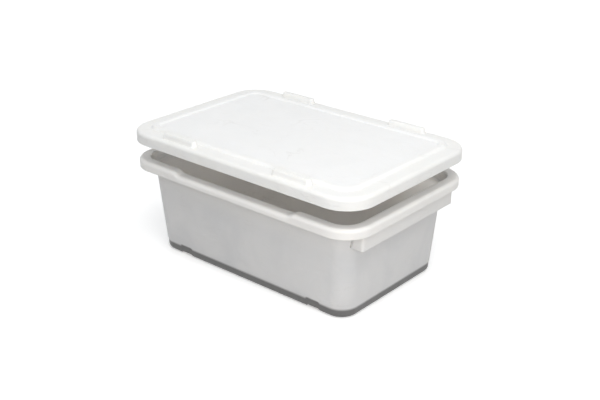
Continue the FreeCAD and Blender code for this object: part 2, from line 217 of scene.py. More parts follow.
@dataclass(frozen=True)
class Stations:
    """Where the columns of a shell's grid stand around the outline.

    along holds the x of the columns on the long sides and across the y of those on the
    short sides, both rising.  The corners between them are arcs of arc_steps parts.
    """

    along: np.ndarray
    across: np.ndarray
    arc_steps: int = 22

    def grid(self, rows: np.ndarray) -> np.ndarray:
        """Lays every row around its rounded rectangle.

        A corner column stands at the corner's centre plus the radius along its own
        direction.  A column on a straight side keeps its place on that side instead.

        Args:
            rows: rows of half length, height, half width, corner and anything more.

        Returns:
            Coordinates by row, column and axis.
        """
        quarter, free = math.pi / 2, math.nan
        turn = np.linspace(0.0, quarter, self.arc_steps + 1)
        angle, set_x, set_y, sign_x, sign_y = joined(
            (0.0, free, self.across, 1, 0),
            (turn, free, free, 1, 1),
            (quarter, self.along[::-1], free, 0, 1),
            (turn + quarter, free, free, -1, 1),
            (2 * quarter, free, self.across[::-1], -1, 0),
            (turn + 2 * quarter, free, free, -1, -1),
            (3 * quarter, self.along, free, 0, -1),
            (turn + 3 * quarter, free, free, 1, -1),
        )
        half_length, height, half_width, corner = (rows[:, k][:, None] for k in range(4))
        x = sign_x * (half_length - corner) + corner * np.cos(angle)
        y = sign_y * (half_width - corner) + corner * np.sin(angle)
        x = np.where(np.isnan(set_x), x, set_x)
        y = np.where(np.isnan(set_y), y, set_y)
        return np.stack([x, y, np.broadcast_to(height, x.shape)], axis=2)


def smooth(share: np.ndarray) -> np.ndarray:
    """Eases a share from 0 to 1 along half a cosine wave, level at both ends."""
    return (1 - np.cos(np.clip(share, 0.0, 1.0) * math.pi)) / 2


def mirrored(places: np.ndarray) -> np.ndarray:
    """Gives places on both sides of the middle, rising, with one in the middle."""
    return np.unique(np.concatenate([-places, [0.0], places]))


def clustered(edges: list[tuple[float, float]], limit: float, step: float) -> np.ndarray:
    """Spaces columns evenly from 0 to a limit and adds close ones around given edges.

    Args:
        edges: pairs of an edge's place and the half width of the close columns there.
        limit: the last column's place.
        step: spacing of the plain columns.

    Returns:
        The places, rising.
    """
    plain = np.linspace(step, limit, round(limit / step))
    close = [place + np.linspace(-reach, reach, CLOSE_COLUMNS) for place, reach in edges]
    places = np.unique(np.round(np.concatenate([plain, *close]), 6))
    return places[(places > 0) & (places <= limit)]


# ---- meshes


def add_object(name: str, data: bpy.types.ID) -> Piece:
    """Puts a new object into the scene, at the origin.

    Args:
        name: its name.
        data: its mesh, lamp or camera.

    Returns:
        The object.
    """
    made = bpy.data.objects.new(name, data)
    bpy.context.scene.collection.objects.link(made)
    return made


def write_piece(name: str, points: np.ndarray, faces: list[np.ndarray]) -> Piece:
    """Makes a smooth closed mesh whose faces point outwards.

    Six times the enclosed volume is the sum over all triangles of the first corner dotted
    with the cross product of the other two; where it is negative every face is reversed.

    Args:
        name: the piece's name.
        points: vertices, one a row.
        faces: arrays of vertex numbers, one face a row.

    Returns:
        The new object, at the origin.
    """
    fans = [np.stack([f[:, 0], f[:, k], f[:, k + 1]], axis=1)
            for f in faces for k in range(1, f.shape[1] - 1)]
    corners = points[np.concatenate(fans)]
    volume = np.sum(corners[:, 0] * np.cross(corners[:, 1], corners[:, 2]))
    turned = [f[:, ::-1] if volume < 0 else f for f in faces]
    mesh = bpy.data.meshes.new(name)
    mesh.from_pydata(points.tolist(), [], [row for f in turned for row in f.tolist()])
    mesh.shade_smooth()
    mesh.update()
    return add_object(name, mesh)


def closed_grid(name: str, grid: np.ndarray) -> Piece:
    """Makes a piece from a grid that closes around its columns.

    Each row is joined to the next by quads, the last column to the first, and the first
    and last rows are each closed by a fan to their mean.

    Args:
        name: the piece's name.
        grid: coordinates by row, column and axis.

    Returns:
        The new object.
    """
    rows, columns = grid.shape[:2]
    number = np.arange(rows * columns).reshape(rows, columns)
    after = np.roll(number, -1, axis=1)
    quads = np.stack([number[:-1], after[:-1], after[1:], number[1:]], axis=2).reshape(-1, 4)
    poles = grid[[0, -1]].mean(axis=1)
    first, last = rows * columns, rows * columns + 1
    opening = np.stack([after[0], number[0], np.full(columns, first)], axis=1)
    closing = np.stack([number[-1], after[-1], np.full(columns, last)], axis=1)
    points = np.concatenate([grid.reshape(-1, 3), poles])
    return write_piece(name, points, [quads, np.concatenate([opening, closing])])


# ---- node groups


def wire(tree: Tree, node: bpy.types.Node, inputs: dict) -> None:
    """Gives a node's inputs their values or joins them to the sockets that feed them.

    Args:
        tree: the tree that the node is in.
        node: the node.
        inputs: for each input by name or number, a value or a socket.
    """
    for key, value in inputs.items():
        if isinstance(value, Socket):
            tree.links.new(value, node.inputs[key])
        else:
            node.inputs[key].default_value = value


def add_node(tree: Tree, kind: str, inputs: dict | None = None,
             **settings: object) -> bpy.types.Node:
    """Adds one node, sets it up and wires its inputs.

    Args:
        tree: the tree it goes in.
        kind: the node's type, without the start that all share.
        inputs: what its inputs get, as wire takes it.
        settings: the node's own properties.

    Returns:
        The new node.
    """
    node = tree.nodes.new("ShaderNode" + kind)
    for key, value in settings.items():
        setattr(node, key, value)
    wire(tree, node, inputs or {})
    return node


def calculate(tree: Tree, operation: str, *values: object) -> Socket:
    """Adds one Math node, fed by numbers or sockets in order, and gives its result."""
    node = add_node(tree, "Math", dict(enumerate(values)), operation=operation)
    return node.outputs[0]


def remap(tree: Tree, value: Socket, low: float, high: float,
          start: float = 0.0, end: float = 1.0) -> Socket:
    """Eases a value from one range to another and holds it beyond the ends.

    Args:
        tree: the tree the node goes in.
        value: what is mapped.
        low: the value that gives start.
        high: the value that gives end.
        start: the result at low.
        end: the result at high.

    Returns:
        The result's socket.
    """
    node = add_node(tree, "MapRange", {
        "Value": value, "From Min": low, "From Max": high, "To Min": start, "To Max": end,
    }, interpolation_type="SMOOTHSTEP")
    return node.outputs["Result"]


def blend(tree: Tree, share: Socket, first: object, second: object) -> Socket:
    """Mixes two colours, each a socket or a tuple, by a share.

    Args:
        tree: the tree the node goes in.
        share: 0 for the first colour and 1 for the second.
        first: the first colour.
        second: the second colour.

    Returns:
        The mixed colour's socket.
    """
    low, high = (c if isinstance(c, Socket) else (*c, 1.0) for c in (first, second))
    # The node's colours are its inputs 6 and 7 and its output 2.
    mix = add_node(tree, "Mix", {0: share, 6: low, 7: high}, data_type="RGBA")
    return mix.outputs[2]


class Effects:
    """The node groups that both plastics share, each built once."""

    def __init__(self) -> None:
        """Builds every group."""
        self.clouds = self.build_clouds()
        self.grain = self.build_grain()
        self.scuffs = self.build_scuffs()
        self.margin = self.build_margin()

    @staticmethod
    def start(name: str, numbers: tuple[str, ...], output: str) -> tuple:
        """Starts a group that reads a place and numbers and gives one value.

        Args:
            name: the group's name.
            numbers: names of its number inputs.
            output: name of its output.

        Returns:
            The tree, its inputs by name and its output node.
        """
        tree = bpy.data.node_groups.new(name, "ShaderNodeTree")
        tree.interface.new_socket("Place", in_out="INPUT", socket_type="NodeSocketVector")
        for number in numbers:
            tree.interface.new_socket(number, in_out="INPUT", socket_type="NodeSocketFloat")
        tree.interface.new_socket(output, in_out="OUTPUT", socket_type="NodeSocketFloat")
        given = tree.nodes.new("NodeGroupInput").outputs
        return tree, given, tree.nodes.new("NodeGroupOutput")

    def build_clouds(self) -> Tree:
        """Builds soft patches, as where a moulding cooled unevenly.

        The value is broad noise with three octaves, spread to fill 0 to 1.

        Returns:
            The group.
        """
        tree, given, result = self.start("soft_clouds", ("Scale",), "Share")
        noise = add_node(tree, "TexNoise", {
            "Vector": given["Place"], "Scale": given["Scale"], "Detail": 3.0,
            "Roughness": 0.55, "Distortion": 0.6,
        })
        wire(tree, result, {"Share": remap(tree, noise.outputs["Fac"], low=0.34, high=0.66)})
        return tree

    def build_grain(self) -> Tree:
        """Builds the fine spark-eroded grain of a mould's face.

        The height is fine noise plus the rounded distance to the nearest of scattered
        points, a third as strong.

        Returns:
            The group.
        """
        tree, given, result = self.start("mould_grain", ("Scale",), "Height")
        noise = add_node(tree, "TexNoise", {
            "Vector": given["Place"], "Scale": given["Scale"], "Detail": 2.0,
        })
        cells = add_node(tree, "TexVoronoi", {
            "Vector": given["Place"], "Scale": given["Scale"], "Smoothness": 1.0,
        }, feature="SMOOTH_F1")
        third = calculate(tree, "MULTIPLY", cells.outputs["Distance"], 0.33)
        wire(tree, result, {"Height": calculate(tree, "ADD", noise.outputs["Fac"], third)})
        return tree

    def build_scuffs(self) -> Tree:
        """Builds thin rubbed lines in patches, as on a box that slides on shelves.

        A line is where stretched noise crosses its middle: 1 less its distance from a
        half, times a sharpness.  Broad noise leaves the lines in patches only.

        Returns:
            The group.
        """
        tree, given, result = self.start("scuffs", ("Scale", "Sharpness"), "Mask")
        stretched = add_node(tree, "VectorMath", {
            0: given["Place"], 1: (0.35, 0.35, 1.6),
        }, operation="MULTIPLY")
        noise = add_node(tree, "TexNoise", {
            "Vector": stretched.outputs[0], "Scale": given["Scale"],
            "Detail": 4.0, "Distortion": 1.2,
        })
        off = calculate(tree, "ABSOLUTE", calculate(tree, "SUBTRACT", noise.outputs["Fac"], 0.5))
        sharp = calculate(tree, "MULTIPLY", off, given["Sharpness"])
        line = calculate(tree, "MAXIMUM", calculate(tree, "SUBTRACT", 1.0, sharp), 0.0)
        broad = add_node(tree, "TexNoise", {
            "Vector": given["Place"], "Scale": 11.0, "Detail": 1.0,
        })
        patch = remap(tree, broad.outputs["Fac"], low=0.5, high=0.72)
        wire(tree, result, {"Mask": calculate(tree, "MULTIPLY", line, patch)})
        return tree

    def build_margin(self) -> Tree:
        """Builds how far inside a rectangle a place lies, in plan.

        The distance is the smaller of half the length less the size of x and half the
        width less the size of y.

        Returns:
            The group.
        """
        tree, given, result = self.start("margin", ("Half length", "Half width"), "Distance")
        axes = add_node(tree, "SeparateXYZ", {0: given["Place"]})
        left = [
            calculate(tree, "SUBTRACT", given[half],
                      calculate(tree, "ABSOLUTE", axes.outputs[axis]))
            for half, axis in (("Half length", "X"), ("Half width", "Y"))
        ]
        wire(tree, result, {"Distance": calculate(tree, "MINIMUM", *left)})
        return tree


def emptied(owner: bpy.types.ID) -> Tree:
    """Turns on nodes and clears them.

    Args:
        owner: a material or a world.

    Returns:
        Its tree, empty.
    """
    owner.use_nodes = True
    owner.node_tree.nodes.clear()
    return owner.node_tree


def use_group(tree: Tree, group: Tree, inputs: dict) -> Socket:
    """Places a group in a material and gives its one output."""
    return add_node(tree, "Group", inputs, node_tree=group).outputs[0]


def place_in(tree: Tree) -> Socket:
    """Gives the place on the object, in its own metres, for a material's nodes."""
    return add_node(tree, "TexCoord").outputs["Object"]


# ---- finishes


@dataclass(frozen=True)
class MouldedPlastic:
    """White moulded polyethylene, satin and faintly translucent.

    plan is the outline in which it is laid.  thick is the colour of the rim and of a margin
    near the outline, and thin that of a single wall.  On the tub thin is painted shade, far
    darker than the rim, as the wall lies in the shade of the flange.  inner is the colour of
    a wall's inside, lighter and warmer with painted light, and glow the strength of the
    painted light that the inside gives off, elsewhere and in one corner.  fade is how far
    down the wall the thick colour reaches, which on the tub paints light into the shade
    under the flange, and soft the width of a mask's edge.  grimy is painted shade on the
    foot, up to painted_shade_band above the ground, if there is a band: the dark of its shaded
    underside and of its contact shadow.  Over a notch, given by its centre, half width and
    height, the band climbs by that height, with the shade under the notch's arch.
    """

    name: str
    effects: Effects
    plan: Outline
    thick: Colour
    thin: Colour
    inner: Colour
    cloudy: Colour
    rubbed: Colour
    foot_painted_shade: Colour
    foot: float
    wall_top: float
    margin: float
    painted_shade_band: float = -10 * MM
    notch: tuple[float, float, float] = (0.0, 0.0, 0.0)
    fade: float = 12 * MM
    soft: float = 4 * MM
    painted_light_strength: tuple[float, float] = (0.0, 0.0)
    cloud_share: float = 0.45
    worn_height: float = 60 * MM
    roughness: float = 0.38

    def build(self) -> Finish:
        """Builds the material.

        Returns:
            The material.
        """
        made = bpy.data.materials.new(self.name)
        made.use_nodes = True
        tree = made.node_tree
        place = place_in(tree)
        clouds = use_group(tree, self.effects.clouds, {"Place": place, "Scale": 7.0})
        scuffs = use_group(tree, self.effects.scuffs, {
            "Place": place, "Scale": 26.0, "Sharpness": 60.0,
        })
        inside = self.inside(tree)
        worn = calculate(tree, "MULTIPLY", scuffs, self.wear(tree))
        # On the tub the thin colour is painted shade, far darker than the rim's thick colour.
        colour = blend(tree, self.rim_and_painted_light_share(tree), self.thin, self.thick)
        for share, over in (
            # The inside's colour is painted light, lighter and warmer than the wall's.
            (inside, self.inner),
            (calculate(tree, "MULTIPLY", clouds, self.cloud_share), self.cloudy),
            (worn, self.rubbed),
            # Painted shade on the foot.
            (self.painted_foot_shade(tree, inside), self.foot_painted_shade),
        ):
            colour = blend(tree, share, colour, over)
        satin = remap(tree, clouds, 0.0, 1.0, self.roughness - 0.05, self.roughness + 0.06)
        dull = calculate(tree, "MULTIPLY", worn, 0.3)
        wire(tree, tree.nodes["Principled BSDF"], {
            "Base Color": colour, "Roughness": calculate(tree, "ADD", satin, dull),
            "Normal": self.relief(tree), "IOR": 1.5,
            "Subsurface Weight": 0.22, "Subsurface Radius": (1.0, 0.9, 0.8),
            # The emission is painted light: the tub's inside gives off light, most in one corner.
            "Subsurface Scale": 6 * MM, "Emission Color": (*self.inner, 1.0),
            "Emission Strength": calculate(tree, "MULTIPLY", inside, self.inner_painted_glow(tree)),
        })
        return made

    def inner_painted_glow(self, tree: Tree) -> Socket:
        """Gives the strength of the painted light that the inner walls give off,
        strongest where x in half lengths plus y in half widths nears 2.
        """
        corner = add_node(tree, "VectorMath", {
            0: place_in(tree), 1: (1.0 / self.plan.half_length, 1.0 / self.plan.half_width, 0.0),
        }, operation="DOT_PRODUCT").outputs["Value"]
        return remap(tree, corner, 1.15, 1.8, *self.painted_light_strength)

    def above(self, tree: Tree, fade: float) -> Socket:
        """Gives 1 above the wall's top, fading to 0 over a given depth below it."""
        height = add_node(tree, "SeparateXYZ", {0: place_in(tree)}).outputs["Z"]
        return remap(tree, height, self.wall_top - fade, self.wall_top + self.soft)

    def inside(self, tree: Tree) -> Socket:
        """Says which surfaces of the wall face inwards, or up from the floor.

        The place, in plan, dotted with the surface's own direction is positive on an outer
        face and not on an inner one.

        Args:
            tree: the material's tree.

        Returns:
            1 on an inner face of the wall and 0 elsewhere.
        """
        facing = add_node(tree, "TexCoord").outputs
        plan = add_node(tree, "VectorMath", {0: facing["Object"], 1: (1.0, 1.0, 0.0)},
                        operation="MULTIPLY").outputs["Vector"]
        away = add_node(tree, "VectorMath", {0: plan, 1: facing["Normal"]},
                        operation="DOT_PRODUCT").outputs["Value"]
        inwards = remap(tree, away, low=0.05, high=0.0)
        below = calculate(tree, "SUBTRACT", 1.0, self.above(tree, 3 * self.soft))
        return calculate(tree, "MULTIPLY", inwards, below)

    def painted_foot_shade(self, tree: Tree, inside: Socket) -> Socket:
        """Says where the foot is painted with shade, in a band around the base: the dark of its
        shaded underside and of its contact shadow.

        Args:
            tree: the material's tree.
            inside: 1 on a face that is turned inwards.

        Returns:
            1 in the band and 0 above it.
        """
        axes = add_node(tree, "SeparateXYZ", {0: place_in(tree)}).outputs
        # Over a notch the painted shade climbs with the notch's arch.
        centre, half, rise = self.notch
        along = calculate(tree, "ABSOLUTE", axes["X"])
        apart = calculate(tree, "ABSOLUTE", calculate(tree, "SUBTRACT", along, centre))
        climb = remap(tree, apart, half + self.soft, half - self.soft, 0.0, rise)
        height = calculate(tree, "SUBTRACT", axes["Z"], climb)
        edge = self.foot + self.painted_shade_band
        band = remap(tree, height, edge + 3 * MM, edge - self.soft)
        return calculate(tree, "MULTIPLY", band, calculate(tree, "SUBTRACT", 1.0, inside))

    def rim_and_painted_light_share(self, tree: Tree) -> Socket:
        """Says where the thick colour goes: above the wall's top, fading down the wall, and near
        the outline.  On the tub the thin colour left lower on the wall is painted shade, and the
        fade paints light into the shade under the flange.

        Args:
            tree: the material's tree.

        Returns:
            0 where the wall keeps its thin colour, painted shade on the tub, and 1 on the rim and
            near the outline.
        """
        distance = use_group(tree, self.effects.margin, {
            "Place": place_in(tree),
            "Half length": self.plan.half_length, "Half width": self.plan.half_width,
        })
        beside = remap(tree, distance, self.margin * 1.6, self.margin * 0.8)
        return calculate(tree, "MULTIPLY", self.above(tree, self.fade), beside)

    def wear(self, tree: Tree) -> Socket:
        """Gives how rubbed a scuff is: most near the foot, a little everywhere."""
        height = add_node(tree, "SeparateXYZ", {0: place_in(tree)}).outputs["Z"]
        return remap(tree, height, self.foot, self.foot + self.worn_height, start=0.5, end=0.16)

    def relief(self, tree: Tree) -> Socket:
        """Bends the light by the mould's fine grain and by slow waves of the wall.

        Args:
            tree: the material's tree.

        Returns:
            The normal.
        """
        place = place_in(tree)
        waves = use_group(tree, self.effects.clouds, {"Place": place, "Scale": 16.0})
        broad = add_node(tree, "Bump", {"Height": waves, "Strength": 0.35, "Distance": 0.002})
        grain = use_group(tree, self.effects.grain, {"Place": place, "Scale": 900.0})
        return add_node(tree, "Bump", {
            "Height": grain, "Strength": 0.16, "Distance": 0.0003,
            "Normal": broad.outputs["Normal"],
        }).outputs["Normal"]


# ---- sub-assemblies


def put(piece: Piece, body: str, finish: Finish) -> None:
    """Dresses a piece, lets it ride on a body and reports it.

    Args:
        piece: the new object.
        body: the body that carries it.
        finish: its material.
    """
    piece.data.materials.append(finish)
    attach(piece, body)
    LOG.info("%s: %d faces, rides on %s", piece.name, len(piece.data.polygons), body)


@dataclass(frozen=True)
class Tub:
    """The drafted tub with its wide flange, dipped along the long sides."""

    rim: Outline
    height: float
    wall: float = 3 * MM
    land: float = 26 * MM
    rim_ease: float = 8 * MM
    mouth_ease: float = 2.5 * MM
    skirt: float = 22 * MM
    skirt_wall: float = 3.5 * MM
    dip: float = 7 * MM
    dip_half: float = 155 * MM
    dip_ramp: float = 24 * MM
    ledge_drop: float = 13 * MM
    ledge_width: float = 9.5 * MM
    ledge_fall: float = 5 * MM
    wall_corner: float = 42 * MM
    base_end_inset: float = 49 * MM
    base_side_inset: float = 46 * MM
    base_corner: float = 40 * MM
    foot_ease: float = 11 * MM
    plinth: float = 25 * MM
    plinth_flare: float = 1 * MM
    plinth_step: float = 1.5 * MM
    runner: float = 8 * MM
    runner_width: float = 18 * MM
    notch_width: float = 26 * MM
    notch_flare: float = 9 * MM
    notch_margin: float = 85 * MM
    grip_inset: float = 11 * MM
    grip_drop_right: float = 36 * MM
    grip_drop_left: float = 14 * MM
    grip_margin_right: float = 52 * MM
    grip_margin_left: float = 114 * MM
    web_offset: float = 38 * MM
    web_drop: float = 7 * MM
    rib_wall: float = 3 * MM
    bedding: float = 1.2 * MM
    floor_ring: float = 24 * MM
    recess_ring: float = 16 * MM
    notch_roof: float = 0.97

    def base(self) -> Outline:
        """Gives the outline of the foot."""
        return Outline(self.rim.half_length - self.base_end_inset,
                       self.rim.half_width - self.base_side_inset, self.base_corner)

    def plinth_top(self) -> Outline:
        """Gives the outline of the drafted wall where it meets the plinth."""
        return self.base().inset(-self.plinth_flare - self.plinth_step)

    def shoulder(self) -> Outline:
        """Gives the outline of the wall's outer face where its draft ends, below the ledge."""
        return self.rim.inset(self.land + self.ledge_width - self.wall, self.wall_corner)

    def seat(self) -> Outline:
        """Gives the outline of the outer face between the ledge and the flange."""
        return self.rim.inset(self.land - self.wall)

    def notch_centre(self) -> float:
        """Gives the distance of a runner notch from the middle, along the box."""
        return self.base().half_length - self.notch_margin

    def notch_edge(self) -> float:
        """Gives half of a notch's width, at half its height."""
        return (self.notch_width + self.notch_flare) / 2

    def levels(self) -> list[Level]:
        """Lists the profile from the middle of the floor round to that of the underside.

        Returns:
            The levels, up the inside, over the flange and down the outside.
        """
        rim, base, top = self.rim, self.base(), self.height
        mouth, seat, shoulder = rim.inset(self.land), self.seat(), self.shoulder()
        hollow = rim.inset(self.land + self.ledge_width, self.wall_corner - self.wall)
        skirt_in = rim.inset(self.skirt_wall)
        floor = base.inset(self.wall)
        recess = base.inset(self.runner_width)
        ledge = top - self.ledge_drop
        foot = ledge - self.ledge_fall
        under = top - self.skirt_wall
        broad = 6 * MM
        return [
            Level(floor.inset(self.floor_ring), self.runner + self.wall),
            Level(floor, self.runner + self.wall, ease=7 * MM, spacing=20 * MM),
            Level(hollow, foot, ease=3 * MM),
            Level(mouth, ledge, ease=2.6 * MM),
            Level(mouth, top, ease=self.mouth_ease, sinks=1.0, spacing=broad),
            Level(rim, top, ease=self.rim_ease, sinks=1.0),
            Level(rim, top - self.skirt, ease=1.2 * MM),
            Level(skirt_in, top - self.skirt, ease=1.2 * MM),
            Level(skirt_in, under, ease=2.5 * MM, sinks=1.0, spacing=broad),
            Level(seat, under, ease=2.5 * MM, sinks=1.0),
            Level(seat, ledge - self.wall, ease=1.5 * MM),
            Level(shoulder, foot - self.wall, ease=4 * MM, spacing=20 * MM),
            Level(self.plinth_top(), self.plinth, ease=0.6 * MM),
            Level(base.inset(-self.plinth_flare), self.plinth, ease=0.6 * MM),
            Level(base, 0.0, ease=self.foot_ease),
            Level(recess, 0.0, ease=1.8 * MM),
            Level(recess, self.runner, ease=1.5 * MM),
            Level(recess.inset(self.recess_ring), self.runner),
        ]

    def sunk(self, x: np.ndarray) -> np.ndarray:
        """Gives how far the rim lies below its ends.

        The full dip reaches to half its length; from there it rises along half a cosine
        wave over the ramp.

        Args:
            x: places along the box.

        Returns:
            The drop at each place.
        """
        return self.dip * smooth((self.dip_half + self.dip_ramp - np.abs(x)) / self.dip_ramp)

    def shell(self) -> Piece:
        """Builds the moulding: floor, wall, ledge, flange, skirt, plinth and runner.

        Where a notch crosses the runner, what lies below its roof is raised to it.  The roof
        is almost as high as the recess over the notch's width and falls to the ground over
        the flare beside it.

        Returns:
            The piece.
        """
        rows = profile_rows(self.levels())
        notch, edge = self.notch_centre(), self.notch_edge()
        along = clustered([
            (self.dip_half + self.dip_ramp / 2, self.dip_ramp / 2),
            (notch - edge, self.notch_flare / 2), (notch + edge, self.notch_flare / 2),
        ], limit=225 * MM, step=16 * MM)
        across = clustered([], limit=112 * MM, step=16 * MM)
        grid = Stations(mirrored(along), mirrored(across)).grid(rows)
        x, z, sinks = grid[..., 0], grid[..., 2], rows[:, 4][:, None]
        sides = np.abs(grid[..., 1]) > self.base().half_width - self.base_corner
        inside = smooth((edge - np.abs(np.abs(x) - notch)) / self.notch_flare + 0.5)
        roof = self.notch_roof * self.runner * inside * sides
        grid[..., 2] = np.maximum(z, roof) - sinks * self.sunk(x)
        return closed_grid("tub_shell", grid)

    def root(self, height: np.ndarray, y: float) -> np.ndarray:
        """Gives where a cheek ends inside the wall, at the line across the box.

        Below the shoulder it is the drafted wall, above it the wall of the seat, with a
        straight way between them, all a bedding depth inside the outer face.

        Args:
            height: heights.
            y: place of the line.

        Returns:
            The x at each height.
        """
        under = self.height - self.ledge_drop - self.wall
        heights = [self.plinth, under - self.ledge_fall, under, self.height]
        outlines = (self.plinth_top(), self.shoulder(), self.seat(), self.seat())
        reaches = [outline.reach(y) for outline in outlines]
        return np.interp(height, heights, reaches) - self.bedding

    def grip(self, side: Side) -> Piece:
        """Builds the bar that hangs under one end of the flange, with its two cheeks.

        The section is a thin rectangle with eased corners.  It is carried along a plan
        path: a cheek, a rounded corner, the bar, a corner and a cheek.  A point on a cheek
        stands at the corner's start plus a share of the way to the wall at its height.

        Args:
            side: the end it hangs on.

        Returns:
            The piece.
        """
        right = side is Side.RIGHT
        margin = self.grip_margin_right if right else self.grip_margin_left
        drop = self.grip_drop_right if right else self.grip_drop_left
        half = self.rim.half_width - margin - self.rib_wall / 2
        face = self.rim.half_length - self.grip_inset - self.rib_wall / 2
        bend, foot_ease, top_ease = 4.5 * MM, 1.2 * MM, 0.3 * MM
        low = self.height - self.skirt - drop
        high = self.height - self.skirt_wall + self.bedding
        thick = self.rib_wall / 2
        corners = np.array([(-thick, low), (thick, low), (thick, high), (-thick, high)])
        eases = np.array([foot_ease, foot_ease, top_ease, top_ease])
        section = ease_corners(corners, eases).reshape(-1, 2)
        turn = np.linspace(0.0, math.pi / 2, ROUND_STOPS)
        straight = np.linspace(-(half - bend), half - bend, BAR_STOPS)
        share = np.linspace(1.0, 0.0, CHEEK_STOPS)
        sine, cosine, start = np.sin(turn), np.cos(turn), face - bend
        path = joined(
            (start, -half, 0.0, -1.0, share),
            (start + bend * sine, -half + bend - bend * cosine, sine, -cosine, 0.0),
            (face, straight, 1.0, 0.0, 0.0),
            (start + bend * cosine, half - bend + bend * sine, cosine, sine, 0.0),
            (start, half, 0.0, 1.0, share[::-1]),
        )
        step = np.abs(np.diff(path))
        moves = np.hypot(step[0], step[1]) + step[4] > NOTHING
        centre_x, centre_y, normal_x, normal_y, back = path[:, np.append(True, moves)]
        depth, height = section[:, 0], section[:, 1]
        wall = self.root(height, half)
        x = centre_x[:, None] + depth * normal_x[:, None]
        x = x + back[:, None] * (wall - start)
        y = centre_y[:, None] + depth * normal_y[:, None]
        z = np.broadcast_to(height, x.shape)
        grid = np.stack([x * side.value, y, z], axis=2)
        return closed_grid("tub_grip_" + side.name.lower(), grid)

    def web(self, side: Side, across: int) -> Piece:
        """Builds one thin web between the wall and the skirt, under a long side.

        Its outline stands across the box: along the wall, over the shoulder, under the
        flange, down inside the skirt and back along a slope.  At both faces it is drawn in
        a little towards its middle.

        Args:
            side: the end it is nearer to.
            across: 1 for the back of the box and -1 for the front.

        Returns:
            The piece.
        """
        draft, ease, shrink = 0.4 * MM, 0.5 * MM, 0.05
        top = self.height
        wall = self.shoulder().half_width - self.bedding
        seat = self.seat().half_width - self.bedding
        skirt = self.rim.half_width - self.skirt_wall + self.bedding
        foot = top - self.ledge_drop - self.ledge_fall - self.wall
        ceiling = top - self.dip - self.skirt_wall + self.bedding
        outline = np.array([
            (wall - draft, top - self.skirt - self.web_drop),
            (wall, foot), (seat, foot + self.ledge_fall), (seat, ceiling),
            (skirt, ceiling), (skirt, top - self.skirt + self.bedding),
        ])
        loop = ease_corners(outline, np.full(len(outline), ease)).reshape(-1, 2)
        middle = loop.mean(axis=0)
        turn = np.linspace(0.0, math.pi, ROUND_STOPS)
        offset = -np.cos(turn) * self.rib_wall / 2
        drawn = 1 - shrink * (1 - np.sin(turn))
        plan = middle + (loop - middle) * drawn[:, None, None]
        x = side.value * self.web_offset + np.broadcast_to(offset[:, None], plan.shape[:2])
        grid = np.stack([x, across * plan[..., 0], plan[..., 1]], axis=2)
        where = "back" if across > 0 else "front"
        return closed_grid("tub_web_%s_%s" % (where, side.name.lower()), grid)

    def build(self, finish: Finish) -> None:
        """Builds and dresses every piece of the tub.

        Args:
            finish: its plastic.
        """
        shell = self.shell()
        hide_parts("tub")
        put(shell, "tub", finish)
        for side in Side:
            put(self.grip(side), "tub", finish)
            for across in (-1, 1):
                put(self.web(side, across), "tub", finish)


